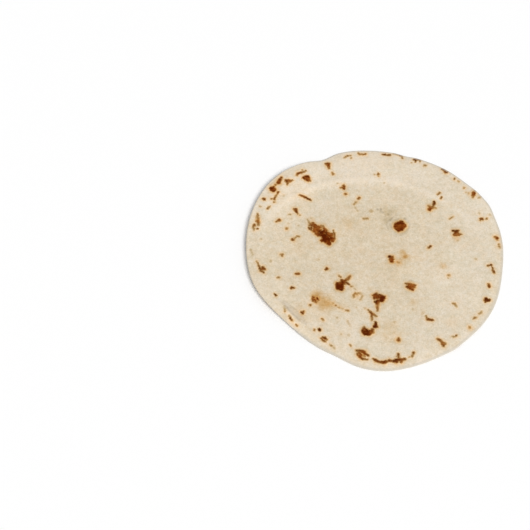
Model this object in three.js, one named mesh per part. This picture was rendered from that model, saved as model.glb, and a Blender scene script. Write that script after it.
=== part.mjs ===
// A soft wheat-flour tortilla, about 203 mm (8 in) across, laid flat: one thin round of dough.
//
// Millimetres and degrees, +Z up, +X right, +Y away. The origin is the middle of the round's
// bounding box, at the height of the flat underside that it rests on. Angles run
// counter-clockwise from +X, seen from above, and an inset is a distance in from the rim.
//
// The solid's surface is a row of closed rings of points. They start at the middle of the
// upper face, widen to the rim, turn round its soft edge and narrow again to the middle of
// the underside. Each point is worked out from the named sizes below, and neighbouring rings
// are stitched together with triangles.

import * as THREE from "three";

const { degToRad, lerp, radToDeg, smoothstep } = THREE.MathUtils;

// ---- The round as it was pressed ----

const MEAN_RADIUS = 101;
const ROUND_MIDDLE = { x: 0.5, y: 2.45 }; // the pressed round is a little off its own box
const FULL_THICKNESS = 2.1;
const RIM_THICKNESS = 1.4;
const THINNING_BAND = 10; // the dough thins towards its rim over this width
const EDGE_DEPTH = 1.5; // how far in from the rim its rounded edge begins

// The outline swells out and draws in this many times round, by this much, and one of the
// swellings points this way.
const OUTLINE_SWELLS = [
  { times: 2, size: 1.2, towards: -45 },
  { times: 3, size: 2.35, towards: 37 },
  { times: 4, size: 0.45, towards: 11 },
  { times: 5, size: 0.45, towards: -25 },
  { times: 6, size: 0.95, towards: 24 },
  { times: 7, size: 0.2, towards: -4 },
  { times: 8, size: 0.2, towards: 8 },
  { times: 11, size: 0.25, towards: 5 },
];

// Stretches of the rim that are pulled in by this much, or out where it is negative. The
// first is a short soft fold.
const RIM_PULLS = [
  { towards: 113.5, halfWidth: 5.5, depth: 2.7 },
  { towards: 85, halfWidth: 25, depth: 0.35 },
  { towards: 72, halfWidth: 4, depth: 1.1 },
  { towards: 41, halfWidth: 8, depth: 1.6 },
  { towards: 24, halfWidth: 4.5, depth: -0.9 },
  { towards: 250, halfWidth: 7, depth: 1.2 },
  { towards: 301, halfWidth: 4, depth: -0.6 },
  { towards: 350, halfWidth: 14, depth: -0.4 },
  { towards: 195, halfWidth: 30, depth: -0.35 },
];

// ---- How it lies ----

// Stretches of the rim that stand clear of the surface. Going round, each rises from one
// angle to the next, keeps its height and falls again.
const RIM_LIFTS = [
  { from: 108, full: 134, until: 200, to: 248, height: 3.8 },
  { from: 14, full: 34, until: 44, to: 66, height: 0.9 },
  { from: 284, full: 300, until: 312, to: 330, height: 0.7 },
];
const LIFT_REACH = 42; // inside this distance from the rim the underside is dead flat

// ---- Relief of the upper face ----

// A low arched step with a soft lip, pressed into the dough.
const STEP = {
  middle: { x: -5, y: -29 },
  radius: 100,
  from: 36,
  to: 126,
  fade: 16,
  height: 0.35,
  width: 6,
  lipHeight: 0.3,
  lipHalfWidth: 3.2,
};

// A crease that follows the rim: the strip outside it is bent up, the dough inside it sinks.
const CREASE = {
  towards: 217,
  halfWidth: 12,
  inset: 10,
  stripHeight: 0.55,
  stripHalfWidth: 3.6,
  hollowDepth: 0.4,
  hollowHalfWidth: 5,
};

// A shallow wrinkled hollow beside the round blister.
const HOLLOW = { x: 11, y: 34, radius: 9, depth: 0.35 };

// Blisters of steam: where they are, how wide and how high. The dough browns on top of them.
const BLISTERS = [
  { x: 21, y: 25.5, radius: 7, height: 1.0 }, // the round one
  { x: -37.5, y: 14.5, radius: 8, height: 0.9 }, // the long burn, its near end
  { x: -46.5, y: 24.5, radius: 7, height: 0.7 }, // and its far end
  { x: -42, y: -43, radius: 10, height: 0.9 }, // the broad golden one
  { x: -28.5, y: -29, radius: 6, height: 0.7 },
  { x: 1, y: -40, radius: 6.5, height: 0.7 },
  { x: -10.5, y: -70, radius: 6, height: 0.7 },
  { x: -3, y: -62, radius: 4, height: 0.4 },
  { x: 26, y: -30, radius: 5.5, height: 0.6 },
  { x: 65, y: 19.5, radius: 5.5, height: 0.6 },
  { x: 48, y: 43.5, radius: 5, height: 0.5 },
  { x: 12, y: -5.5, radius: 4.5, height: 0.5 },
  { x: -52, y: 73, radius: 6, height: 0.6 },
  { x: -80, y: 62, radius: 5.5, height: 0.6 },
  { x: -67, y: 70, radius: 5, height: 0.5 },
  { x: -15.5, y: -89, radius: 6, height: 0.6 },
  { x: 2, y: -94.5, radius: 4.5, height: 0.4 },
  { x: 12, y: -93, radius: 5, height: 0.5 },
  { x: 83, y: -42, radius: 4.5, height: 0.5 },
  { x: 83, y: 57, radius: 4, height: 0.4 },
];

// Slow swells of thickness that a hand-worked dough keeps, each a wave across the round.
const PUFFS = [
  { length: 61, towards: 25, start: 40, height: 0.1 },
  { length: 43, towards: 110, start: 200, height: 0.09 },
  { length: 31, towards: 165, start: 300, height: 0.07 },
];

// ---- Fineness of the solid ----

const UPPER_RINGS = 32; // about 3.1 mm between the rings of the upper face
const UNDER_RINGS = 12; // the plain underside needs fewer
const POINTS_PER_RING = 6; // each ring has six points more than the one inside it
const EDGE_FACETS = 5; // across the soft edge, from upper face to underside

// ---- Forms: each gives a length in mm at a place ----

function bell(distance, halfWidth) {
  return Math.exp(-((distance / halfWidth) ** 2));
}

function degreesApart(a, b) {
  return THREE.MathUtils.euclideanModulo(a - b + 180, 360) - 180;
}

// Distance from the round's middle to its rim.
function rimRadius(angle) {
  const swells = OUTLINE_SWELLS.reduce(
    (sum, { times, size, towards }) => sum + size * Math.cos(degToRad(times * (angle - towards))),
    0,
  );
  const pulls = RIM_PULLS.reduce(
    (sum, { towards, halfWidth, depth }) =>
      sum + depth * bell(degreesApart(angle, towards), halfWidth),
    0,
  );
  return MEAN_RADIUS + swells - pulls;
}

// Height of the underside above the surface. Further in than LIFT_REACH it is nothing.
function lift(angle, inset) {
  const atRim = RIM_LIFTS.reduce(
    (sum, { from, full, until, to, height }) =>
      sum + height * smoothstep(angle, from, full) * (1 - smoothstep(angle, until, to)),
    0,
  );
  return atRim * (1 - smoothstep(inset, 0, LIFT_REACH));
}

function thickness(x, y, inset) {
  const inFromEdge = smoothstep(inset, 0, THINNING_BAND);
  const puffs = PUFFS.reduce((sum, { length, towards, start, height }) => {
    const along = x * Math.cos(degToRad(towards)) + y * Math.sin(degToRad(towards));
    return sum + height * Math.sin(degToRad((360 * along) / length + start));
  }, 0);
  return lerp(RIM_THICKNESS, FULL_THICKNESS, inFromEdge) + puffs * inFromEdge;
}

function step(x, y) {
  const dx = x - STEP.middle.x;
  const dy = y - STEP.middle.y;
  const outside = Math.hypot(dx, dy) - STEP.radius;
  const angle = radToDeg(Math.atan2(dy, dx));
  const along =
    smoothstep(angle, STEP.from - STEP.fade, STEP.from) *
    (1 - smoothstep(angle, STEP.to, STEP.to + STEP.fade));
  const rise = STEP.height * smoothstep(outside, -STEP.width / 2, STEP.width / 2);
  const lip = STEP.lipHeight * bell(outside, STEP.lipHalfWidth);
  return along * (rise + lip);
}

function crease(angle, inset) {
  const along = bell(degreesApart(angle, CREASE.towards), CREASE.halfWidth);
  const outside = CREASE.inset - inset;
  const strip = CREASE.stripHeight * bell(outside - CREASE.stripHalfWidth, CREASE.stripHalfWidth);
  const sunk = CREASE.hollowDepth * bell(outside + CREASE.hollowHalfWidth, CREASE.hollowHalfWidth);
  return along * (strip - sunk);
}

// A dome that meets the face smoothly: d radii from its top it keeps (1 - d²)² of its height.
function dome(x, y, { x: topX, y: topY, radius }) {
  const apart = Math.min(Math.hypot(x - topX, y - topY) / radius, 1);
  return (1 - apart ** 2) ** 2;
}

function relief(x, y, angle, inset) {
  const blisters = BLISTERS.reduce((sum, blister) => sum + blister.height * dome(x, y, blister), 0);
  const hollow = HOLLOW.depth * dome(x, y, HOLLOW);
  const inFromEdge = smoothstep(inset, 0, THINNING_BAND / 2);
  return (step(x, y) + crease(angle, inset)) * inFromEdge + blisters - hollow;
}

// ---- Points of the surface ----

// The point at this angle, this share of the way from the middle out to the rounded edge.
function facePoint(angle, share, isUpper) {
  const rim = rimRadius(angle);
  const radius = share * (rim - EDGE_DEPTH);
  const inset = rim - radius;
  const x = ROUND_MIDDLE.x + radius * Math.cos(degToRad(angle));
  const y = ROUND_MIDDLE.y + radius * Math.sin(degToRad(angle));
  const under = lift(angle, inset);
  const upper = under + thickness(x, y, inset) + relief(x, y, angle, inset);
  return new THREE.Vector3(x, y, isUpper ? upper : under);
}

// The rounded edge is half an ellipse, from the upper face's last point to the underside's.
function edgePoint(angle, turn) {
  const upper = facePoint(angle, 1, true);
  const under = facePoint(angle, 1, false);
  const outwards = EDGE_DEPTH * Math.sin(turn);
  return new THREE.Vector3(
    upper.x + outwards * Math.cos(degToRad(angle)),
    upper.y + outwards * Math.sin(degToRad(angle)),
    lerp(under.z, upper.z, (1 + Math.cos(turn)) / 2),
  );
}

// ---- Rings ----

function ringOf(count, pointAt) {
  return Array.from({ length: count }, (_, i) => pointAt((360 * i) / count));
}

function rimRing(pointAt) {
  return ringOf(POINTS_PER_RING * UPPER_RINGS, pointAt);
}

// A face's rings from its middle point outwards, without the one that the edge begins with.
function faceRings(ringCount, isUpper) {
  return Array.from({ length: ringCount }, (_, k) =>
    ringOf(Math.max(1, POINTS_PER_RING * k), (angle) => facePoint(angle, k / ringCount, isUpper)),
  );
}

function edgeRings() {
  return Array.from({ length: EDGE_FACETS + 1 }, (_, k) =>
    rimRing((angle) => edgePoint(angle, (Math.PI * k) / EDGE_FACETS)),
  );
}

// ---- The closed surface ----

// Triangles between a ring and the next. Going round both at once, the ring whose next point
// comes first is the one that steps on, so rings of unequal counts still meet evenly.
function stitch(first, second) {
  const triangles = [];
  const corner = (ring, i) => ring.start + (i % ring.count);
  for (let j = 0; second.count > 1 && j < second.count; j += 1) {
    const i = Math.ceil(((j + 1) * first.count) / second.count) - 1;
    triangles.push(corner(first, i), corner(second, j), corner(second, j + 1));
  }
  for (let i = 0; first.count > 1 && i < first.count; i += 1) {
    const j = Math.floor(((i + 1) * second.count) / first.count);
    triangles.push(corner(first, i), corner(second, j), corner(first, i + 1));
  }
  return triangles;
}

function closedSurface(rings) {
  const points = rings.flat();
  let start = 0;
  const spans = rings.map((ring) => {
    const span = { start, count: ring.length };
    start += ring.length;
    return span;
  });
  const triangles = spans.slice(1).flatMap((span, k) => stitch(spans[k], span));
  const geometry = new THREE.BufferGeometry().setFromPoints(points);
  geometry.setIndex(triangles);
  return geometry;
}

function tortillaGeometry() {
  const geometry = closedSurface([
    ...faceRings(UPPER_RINGS, true),
    ...edgeRings(),
    ...faceRings(UNDER_RINGS, false).reverse(),
  ]);
  geometry.computeBoundingBox();
  const middle = geometry.boundingBox.getCenter(new THREE.Vector3());
  geometry.translate(-middle.x, -middle.y, 0);
  geometry.computeVertexNormals();
  return geometry;
}

// ---- The part ----

function tortilla() {
  const dough = new THREE.MeshStandardMaterial({
    color: new THREE.Color(0xe0d1b9),
    roughness: 0.85,
    metalness: 0,
  });
  const mesh = new THREE.Mesh(tortillaGeometry(), dough);
  mesh.name = "tortilla";
  return mesh;
}

const part = new THREE.Group();
part.add(tortilla());

export default part;
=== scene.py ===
# %% [markdown]
# # A soft wheat-flour tortilla
#
# A tortilla is a ball of dough pressed into a thin round and toasted on a dry griddle. Steam
# lifts small blisters, and where the dough touches the hot iron it turns from pale cream to
# gold, brown and nearly black. So this part has one piece, and nearly all of its character is
# in three things: a round that is not quite round, low relief, and the toast marks.
#
# The lesson works out that one surface with numpy, gives every point of it a few numbers that
# say how toasted it is there, and lets a procedural material turn those numbers into colour.

# %% Load the frame
import math

import bpy
import numpy as np
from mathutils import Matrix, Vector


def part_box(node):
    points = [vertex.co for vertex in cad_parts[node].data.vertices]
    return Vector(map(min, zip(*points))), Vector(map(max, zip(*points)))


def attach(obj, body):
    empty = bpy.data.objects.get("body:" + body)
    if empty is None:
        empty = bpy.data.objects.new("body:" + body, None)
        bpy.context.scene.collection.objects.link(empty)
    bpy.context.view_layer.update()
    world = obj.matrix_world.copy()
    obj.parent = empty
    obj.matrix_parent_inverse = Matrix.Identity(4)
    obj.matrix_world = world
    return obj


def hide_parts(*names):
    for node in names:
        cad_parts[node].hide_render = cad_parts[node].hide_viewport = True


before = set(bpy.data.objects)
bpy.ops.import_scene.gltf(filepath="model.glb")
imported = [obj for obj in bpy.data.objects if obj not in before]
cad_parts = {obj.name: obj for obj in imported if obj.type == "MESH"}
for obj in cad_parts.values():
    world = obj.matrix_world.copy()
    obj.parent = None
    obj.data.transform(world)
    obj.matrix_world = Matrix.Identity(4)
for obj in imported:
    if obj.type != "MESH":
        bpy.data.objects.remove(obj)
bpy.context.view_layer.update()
cad_low, cad_high = (np.array(corner) * 1000 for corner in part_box("tortilla"))
print("CAD box, mm:", (cad_high - cad_low).round(1))

# %% [markdown]
# ## Four small curves
#
# Dough has no corners: everything on it fades in and out. Four helpers do all of the fading
# below. Each takes whole arrays, so one call works out every point of the surface at once.
# Lengths are in millimetres and angles in degrees until the mesh is made.


# %% Curves that fade
def ease(share):
    """3t² - 2t³, with t held between 0 and 1: leaves 0 and reaches 1 without a corner."""
    held = np.clip(share, 0, 1)
    return held * held * (3 - 2 * held)


def rising(value, start, end):
    """0 up to start, 1 from end on, and the curve of ease between them."""
    return ease((value - start) / (end - start))


def bell(distance, half_width):
    """exp(-(distance / half width)²): 1 at no distance, 0.37 one half width away."""
    return np.exp(-((distance / half_width) ** 2))


def degrees_apart(a, b):
    """a - b, wrapped into -180 to 180."""
    return (a - b + 180) % 360 - 180


print("halfway up the rise:", rising(5.0, 0, 10))

# %% [markdown]
# ## The outline
#
# A pressed round is never a true circle. Its radius could be drawn by hand, but a mean radius
# with a few slow waves round it takes eight short rows and closes on itself by its nature.
# Each row is how many times the outline swells in one turn, by how much, and where one of the
# swellings points. Last, stretches of the rim are pulled in, the first by a small fold, or
# pushed out where the number is negative.

# %% The outline
MEAN_RADIUS = 101
ROUND_MIDDLE = (0.5, 2.45)
OUTLINE_SWELLS = [
    (2, 1.2, -45),
    (3, 2.35, 37),
    (4, 0.45, 11),
    (5, 0.45, -25),
    (6, 0.95, 24),
    (7, 0.2, -4),
    (8, 0.2, 8),
    (11, 0.25, 5),
]
RIM_PULLS = [  # towards, half width, how far in
    (113.5, 5.5, 2.7),
    (85, 25, 0.35),
    (72, 4, 1.1),
    (41, 8, 1.6),
    (24, 4.5, -0.9),
    (250, 7, 1.2),
    (301, 4, -0.6),
    (350, 14, -0.4),
    (195, 30, -0.35),
]


def rim_radius(angle):
    """Mean radius + sum of size · cos(times · (angle - towards)) - sum of the pulls' bells."""
    swells = sum(
        size * np.cos(np.radians(times * (angle - towards)))
        for times, size, towards in OUTLINE_SWELLS
    )
    pulls = sum(
        how_far * bell(degrees_apart(angle, towards), half_width)
        for towards, half_width, how_far in RIM_PULLS
    )
    return MEAN_RADIUS + swells - pulls


radii = rim_radius(np.arange(360.0))
print("rim radius, mm:", radii.min().round(1), "to", radii.max().round(1))

# %% [markdown]
# ## How it lies
#
# A limp round never lies flat all over: here one side of the rim stands a few millimetres
# clear. A cloth simulation could drop it, but the photograph shows just where it lifts, so the
# lift is stated: going round, the rim rises from one angle to the next, keeps its height and
# falls again. Towards the middle the lift dies away, and the middle lies dead flat.

# %% How it lies
RIM_LIFTS = [  # from, full, until, to, height
    (108, 134, 200, 248, 3.8),
    (14, 34, 44, 66, 0.9),
    (284, 300, 312, 330, 0.7),
]
LIFT_REACH = 42


def lift(angle, inset):
    """Height of the underside: the rim's lift there, times 1 - ease(inset / reach)."""
    at_rim = sum(
        height * rising(angle, start, full) * (1 - rising(angle, until, end))
        for start, full, until, end, height in RIM_LIFTS
    )
    return at_rim * (1 - rising(inset, 0, LIFT_REACH))


print("lift of the left rim, mm:", lift(np.array([170.0]), np.array([0.0])))

# %% [markdown]
# ## Thickness
#
# The dough is about 2 mm thick and thins towards its rim. A hand-worked dough also keeps slow
# swells of thickness. Each is a plain wave across the round, and three waves of different
# lengths and directions never repeat within it.

# %% Thickness
FULL_THICKNESS, RIM_THICKNESS = 2.1, 1.4
THINNING_BAND = 10
PUFFS = [  # length of the wave, direction, where it starts, height
    (61, 25, 40, 0.1),
    (43, 110, 200, 0.09),
    (31, 165, 300, 0.07),
]


def thickness(x, y, inset):
    """From rim to full thickness, plus the sum of height · sin(360 · along / length + start)."""
    inside = rising(inset, 0, THINNING_BAND)
    puffs = 0
    for length, towards, start, height in PUFFS:
        along = x * math.cos(math.radians(towards)) + y * math.sin(math.radians(towards))
        puffs = puffs + height * np.sin(np.radians(360 * along / length + start))
    return RIM_THICKNESS + (FULL_THICKNESS - RIM_THICKNESS + puffs) * inside


print("rim and middle, mm:", thickness(0, 0, 0), "and", thickness(0, 0, THINNING_BAND).round(2))

# %% [markdown]
# ## Step, crease and hollow
#
# Three larger forms catch the light in the photograph. A low arched step crosses the far side,
# left by the edge of the press. At the lower left the rim is bent along a crease, and beside
# the round blister the dough has sunk. Each is a cross-section of one distance: from an arc,
# from the rim, or from a point.

# %% Step, crease and hollow
STEP_MIDDLE, STEP_RADIUS = (-5, -29), 100
STEP_FROM, STEP_TO, STEP_FADE = 36, 126, 16
STEP_HEIGHT, STEP_WIDTH = 0.35, 6
STEP_LIP_HEIGHT, STEP_LIP_HALF_WIDTH = 0.3, 3.2
CREASE_TOWARDS, CREASE_HALF_WIDTH, CREASE_INSET = 217, 12, 10
CREASE_STRIP_HEIGHT, CREASE_STRIP_HALF_WIDTH = 0.55, 3.6
CREASE_HOLLOW_DEPTH, CREASE_HOLLOW_HALF_WIDTH = 0.4, 5
HOLLOW = (11, 34, 9, 0.35)  # x, y, radius, depth


def step(x, y):
    """Across the arc: height · ease + a bell for the lip. Along the arc: fades in and out."""
    dx, dy = x - STEP_MIDDLE[0], y - STEP_MIDDLE[1]
    outside = np.hypot(dx, dy) - STEP_RADIUS
    angle = np.degrees(np.arctan2(dy, dx))
    starts = rising(angle, STEP_FROM - STEP_FADE, STEP_FROM)
    along = starts * (1 - rising(angle, STEP_TO, STEP_TO + STEP_FADE))
    up = STEP_HEIGHT * rising(outside, -STEP_WIDTH / 2, STEP_WIDTH / 2)
    return along * (up + STEP_LIP_HEIGHT * bell(outside, STEP_LIP_HALF_WIDTH))


def crease(angle, inset):
    """A bell-shaped strip outside the crease line, less a bell-shaped hollow inside it."""
    along = bell(degrees_apart(angle, CREASE_TOWARDS), CREASE_HALF_WIDTH)
    outside = CREASE_INSET - inset
    strip = CREASE_STRIP_HEIGHT * bell(outside - CREASE_STRIP_HALF_WIDTH, CREASE_STRIP_HALF_WIDTH)
    sunk = CREASE_HOLLOW_DEPTH * bell(outside + CREASE_HOLLOW_HALF_WIDTH, CREASE_HOLLOW_HALF_WIDTH)
    return along * (strip - sunk)


def dome(x, y, top_x, top_y, radius):
    """(1 - d²)² at d radii from its top: 1 on top, and flat where it meets the face."""
    apart = np.minimum(np.hypot(x - top_x, y - top_y) / radius, 1)
    return (1 - apart**2) ** 2


print("half a radius from its top a dome keeps", dome(0.5, 0, 0, 0, 1).round(2))

# %% [markdown]
# ## Blisters
#
# Steam lifts the skin into low domes, and since they stand nearest the griddle they brown
# first. That is why the big toast marks further down sit on these same places.

# %% Blisters
BLISTERS = [  # x, y, radius, height
    (21, 25.5, 7, 1.0),
    (-37.5, 14.5, 8, 0.9),
    (-46.5, 24.5, 7, 0.7),
    (-42, -43, 10, 0.9),
    (-28.5, -29, 6, 0.7),
    (1, -40, 6.5, 0.7),
    (-10.5, -70, 6, 0.7),
    (-3, -62, 4, 0.4),
    (26, -30, 5.5, 0.6),
    (65, 19.5, 5.5, 0.6),
    (48, 43.5, 5, 0.5),
    (12, -5.5, 4.5, 0.5),
    (-52, 73, 6, 0.6),
    (-80, 62, 5.5, 0.6),
    (-67, 70, 5, 0.5),
    (-15.5, -89, 6, 0.6),
    (2, -94.5, 4.5, 0.4),
    (12, -93, 5, 0.5),
    (83, -42, 4.5, 0.5),
    (83, 57, 4, 0.4),
]


def blisters(x, y):
    """The sum of height · dome over all blisters."""
    return sum(height * dome(x, y, top_x, top_y, radius) for top_x, top_y, radius, height in BLISTERS)


print(len(BLISTERS), "blisters")

# %% [markdown]
# ## Grain
#
# Skin between the blisters is finely pebbled. Random heights at every vertex would look like
# sand, because neighbours would have nothing to do with each other. Gradient noise gives lumps
# of a chosen size instead. It is seeded, so every run makes the same tortilla.

# %% Grain
LATTICE = 256
GRAIN_GAIN = 1.7  # brings the noise up to about -1 to 1


def grain(x, y, size, seed):
    """Gradient noise with lumps about size mm across.

    Each corner of a square lattice points in a random direction. At a place, each of the four
    corners round it gives how far the place lies from it along its direction, and the four are
    blended with weights that run as 6t⁵ - 15t⁴ + 10t³ from corner to corner.
    """
    heading = np.random.default_rng(seed).uniform(0, 2 * np.pi, (LATTICE, LATTICE))
    u = (x * math.cos(seed) - y * math.sin(seed)) / size
    v = (x * math.sin(seed) + y * math.cos(seed)) / size
    column, row = np.floor(u).astype(int), np.floor(v).astype(int)
    total = 0
    for right, up in ((0, 0), (1, 0), (0, 1), (1, 1)):
        du, dv = u - column - right, v - row - up
        towards = heading[(row + up) % LATTICE, (column + right) % LATTICE]
        near_u, near_v = 1 - np.abs(du), 1 - np.abs(dv)
        weight = near_u**3 * (near_u * (6 * near_u - 15) + 10)
        weight = weight * near_v**3 * (near_v * (6 * near_v - 15) + 10)
        total = total + weight * (np.cos(towards) * du + np.sin(towards) * dv)
    return GRAIN_GAIN * total


spread = grain(np.linspace(-90, 90, 4000), np.linspace(-50, 70, 4000), 3, 1)
print("grain runs from", spread.min().round(2), "to", spread.max().round(2))

# %% [markdown]
# ## Toast marks
#
# The marks are what tells one tortilla from another, so they are listed one by one, read off the
# photograph. A painted image could hold them, but strokes scale better and stay editable: each
# mark is how deeply it is toasted, then one or more points of x, y and half width in
# millimetres. Two points make a tapered streak, and a few make a branch or an arc.

# %% Toast marks, far left
CHARRED, DARK, CHESTNUT, BROWN, TAN, FAINT = 0.95, 0.78, 0.67, 0.56, 0.4, 0.22

FAR_LEFT = [
    (BROWN, (-60.1, 76.2, 1.1), (-59.2, 77.8, 1.3)),
    (DARK, (-59.2, 78, 1.2), (-57, 78.9, 1.2)),
    (BROWN, (-56.8, 79, 1.0), (-53.4, 80.4, 0.9)),
    (DARK, (-52.8, 80.7, 0.8)),
    (CHARRED, (-53.1, 74.4, 1.7), (-51.3, 74.7, 1.6)),
    (CHARRED, (-53.2, 72.9, 1.6)),
    (DARK, (-51, 73, 1.8)),
    (CHESTNUT, (-50.6, 72.2, 1.3), (-49.2, 70.2, 0.8)),
    (DARK, (-54.6, 73.8, 1.4), (-51, 71, 1.3)),
    (FAINT, (-55.5, 82, 0.6)),
    (DARK, (-73.1, 74, 1.2), (-74, 72, 1.4)),
    (DARK, (-74, 72, 1.5), (-75.2, 69, 2.0)),
    (DARK, (-68.3, 71.2, 0.9), (-68.7, 69.7, 1.2)),
    (CHESTNUT, (-69.6, 71, 1.2), (-66.2, 70.9, 1.6)),
    (BROWN, (-66, 69.8, 1.1), (-64, 71.1, 0.9)),
    (DARK, (-64, 71.1, 0.8)),
    (DARK, (-67.6, 68.8, 1.0), (-68.2, 66.9, 0.8)),
    (CHARRED, (-80.8, 62.7, 2.2), (-79.6, 61.5, 2.3)),
    (CHARRED, (-81.2, 61.3, 1.5)),
    (DARK, (-78.6, 62, 1.6)),
    (DARK, (-79.6, 64.4, 1.2)),
    (BROWN, (-78, 66.4, 1.1)),
    (DARK, (-75.8, 59, 1.1)),
    (BROWN, (-76, 58, 0.7), (-78.7, 53, 0.8)),
    (DARK, (-79, 52, 1.0)),
    (CHESTNUT, (-81.1, 52.3, 0.9)),
    (BROWN, (-79, 49, 0.9)),
    (DARK, (-88, 52.4, 1.1), (-86.7, 52, 1.2)),
    (FAINT, (-71.2, 55.5, 0.8)),
    (DARK, (-58, 56.2, 0.9), (-54.3, 54.3, 1.2), (-49.6, 51.2, 0.8)),
    (DARK, (-84.4, 42.7, 0.8)),
    (BROWN, (-84.4, 42.7, 0.7), (-82.7, 44.7, 0.9)),
    (TAN, (-90.8, 44.8, 0.6), (-89.9, 44.8, 0.7)),
    (DARK, (-63, 42.2, 1.0), (-61.5, 42.3, 1.1)),
    (DARK, (-62, 41.8, 1.2), (-61.2, 40, 1.2), (-60.4, 38.1, 0.9)),
    (TAN, (-67.3, 36.8, 0.5), (-65.8, 37, 0.6)),
    (FAINT, (-58.2, 36, 0.6)),
    (BROWN, (-92.4, 37.6, 0.8), (-92.2, 36, 1.0)),
    (TAN, (-92.4, 35, 1.3), (-92.1, 31, 1.6), (-91.5, 26.8, 1.1)),
    (BROWN, (-92.5, 32.2, 0.5), (-92, 30.8, 0.8), (-91.2, 27.5, 0.5)),
    (BROWN, (-93.6, 30.4, 0.7)),
    (TAN, (-95.1, 26.2, 1.3)),
    (CHESTNUT, (-95, 27.4, 0.7), (-94.2, 26.3, 1.0)),
    (BROWN, (-95.9, 25, 0.8)),
    (FAINT, (-95.6, 24, 0.9), (-95.3, 21.5, 0.7)),
    (DARK, (-92.4, 23, 0.9)),
    (DARK, (-36.2, 88.2, 0.9), (-34.5, 88.2, 1.3), (-32.9, 88.3, 1.1)),
    (DARK, (-34.4, 87.2, 1.8)),
    (CHESTNUT, (-33.7, 86, 1.7), (-33.4, 83.5, 1.1)),
    (BROWN, (-30.8, 79, 1.0), (-30.3, 77.3, 1.1)),
    (FAINT, (-27, 68, 0.9)),
]
print(len(FAR_LEFT), "marks")

# %% Toast marks, left
LEFT = [
    (DARK, (-76, 31.1, 1.1), (-74.8, 31.5, 1.3)),
    (FAINT, (-77.2, 30, 0.7)),
    (BROWN, (-69.2, 23.2, 1.2)),
    (FAINT, (-67.8, 28, 0.7)),
    (FAINT, (-59.8, 26.3, 0.8)),
    (FAINT, (-65.3, 32.5, 0.8)),
    (DARK, (-64.8, 13, 1.0), (-64.2, 12.4, 1.0)),
    (TAN, (-63.3, 13.6, 0.7), (-62.4, 14.3, 0.6)),
    (TAN, (-62.3, 14.6, 0.6), (-61, 15.7, 0.6)),
    (BROWN, (-60.7, 16, 0.6), (-59.5, 15.6, 0.7)),
    (FAINT, (-89.5, 13, 0.8)),
    (FAINT, (-97.6, 3.4, 0.8), (-96.2, -1.8, 0.8)),
    (BROWN, (-74.3, -1.1, 0.8), (-72.7, -1.2, 0.8)),
    (BROWN, (-73.4, -1.5, 0.9), (-73.2, -2.6, 0.8)),
    (FAINT, (-82, -7.2, 1.2)),
    (BROWN, (-93.2, -7.2, 0.3), (-92, -9.5, 0.5)),
    (DARK, (-92, -9.5, 0.5), (-91, -12.3, 0.8), (-89.9, -15, 1.0)),
    (CHESTNUT, (-88.4, -14.6, 1.6)),
    (DARK, (-88.3, -12.7, 0.9), (-87, -15, 1.2)),
    (DARK, (-89.9, -16.4, 0.9)),
    (CHESTNUT, (-88.6, -16.6, 0.9), (-87.4, -17.8, 0.7)),
    (DARK, (-87.3, -18, 0.6)),
    (DARK, (-62, -19, 1.1), (-60.4, -19.1, 1.2)),
    (BROWN, (-77.2, -22.5, 0.6), (-75.5, -22.2, 0.8)),
    (DARK, (-66.8, -32.1, 0.8), (-65.8, -31.4, 1.0), (-64.3, -31.5, 0.9)),
    (DARK, (-39.3, -14.9, 0.9), (-38.3, -14.3, 1.3)),
    (FAINT, (-44.5, -6.3, 0.8)),
    (DARK, (-79.1, -37, 0.7), (-77.9, -38.3, 0.9)),
    (FAINT, (-71.6, -48, 0.6), (-71.4, -51.5, 0.7)),
    (BROWN, (-71.3, -52, 0.8)),
    (BROWN, (-68.3, -56.1, 0.6), (-67, -58, 0.6)),
    (DARK, (-67.3, -58.4, 0.8), (-66.1, -60.3, 0.8)),
    (DARK, (-63, -63.9, 0.7), (-62.4, -64.8, 0.6)),
]
print(len(LEFT), "marks")

# %% Toast marks, the long burn
LONG_BURN = [
    (TAN, (-52.3, 31.8, 0.8), (-51.2, 29, 0.9)),
    (FAINT, (-49.4, 33, 1.1)),
    (FAINT, (-49.9, 27, 1.8)),
    (BROWN, (-48.2, 28.2, 1.4)),
    (TAN, (-49.6, 24, 1.2)),
    (DARK, (-51.7, 24.6, 0.7), (-50.9, 22.9, 0.9), (-49.5, 21.9, 0.8)),
    (DARK, (-47.4, 28.2, 1.2), (-46.2, 25.6, 1.8), (-47.3, 22.8, 1.5)),
    (CHESTNUT, (-47.3, 21.3, 1.9), (-44.5, 23.2, 2.2)),
    (TAN, (-43.6, 25, 1.5), (-40.6, 25.2, 1.6)),
    (BROWN, (-45.8, 19.8, 1.8), (-42.6, 22.2, 1.6)),
    (CHESTNUT, (-45.8, 18.5, 1.5), (-43.2, 17, 1.6)),
    (CHARRED, (-42, 19.4, 1.6), (-39.8, 20, 1.9)),
    (BROWN, (-39.4, 23.4, 1.6), (-37.8, 21.4, 1.4)),
    (CHARRED, (-40.3, 17, 2.2), (-38.3, 14.5, 2.8)),
    (CHARRED, (-37.2, 12, 3.2)),
    (DARK, (-41, 11.9, 1.8)),
    (DARK, (-36.2, 9.4, 2.2)),
    (BROWN, (-36.2, 18, 2.2), (-34, 17, 2.3)),
    (DARK, (-33.8, 13.6, 2.2), (-33.2, 12, 1.9)),
    (CHESTNUT, (-32.1, 21.4, 0.6), (-31.4, 18.4, 0.9), (-31.4, 13.8, 0.9)),
]
print(len(LONG_BURN), "marks")

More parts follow.
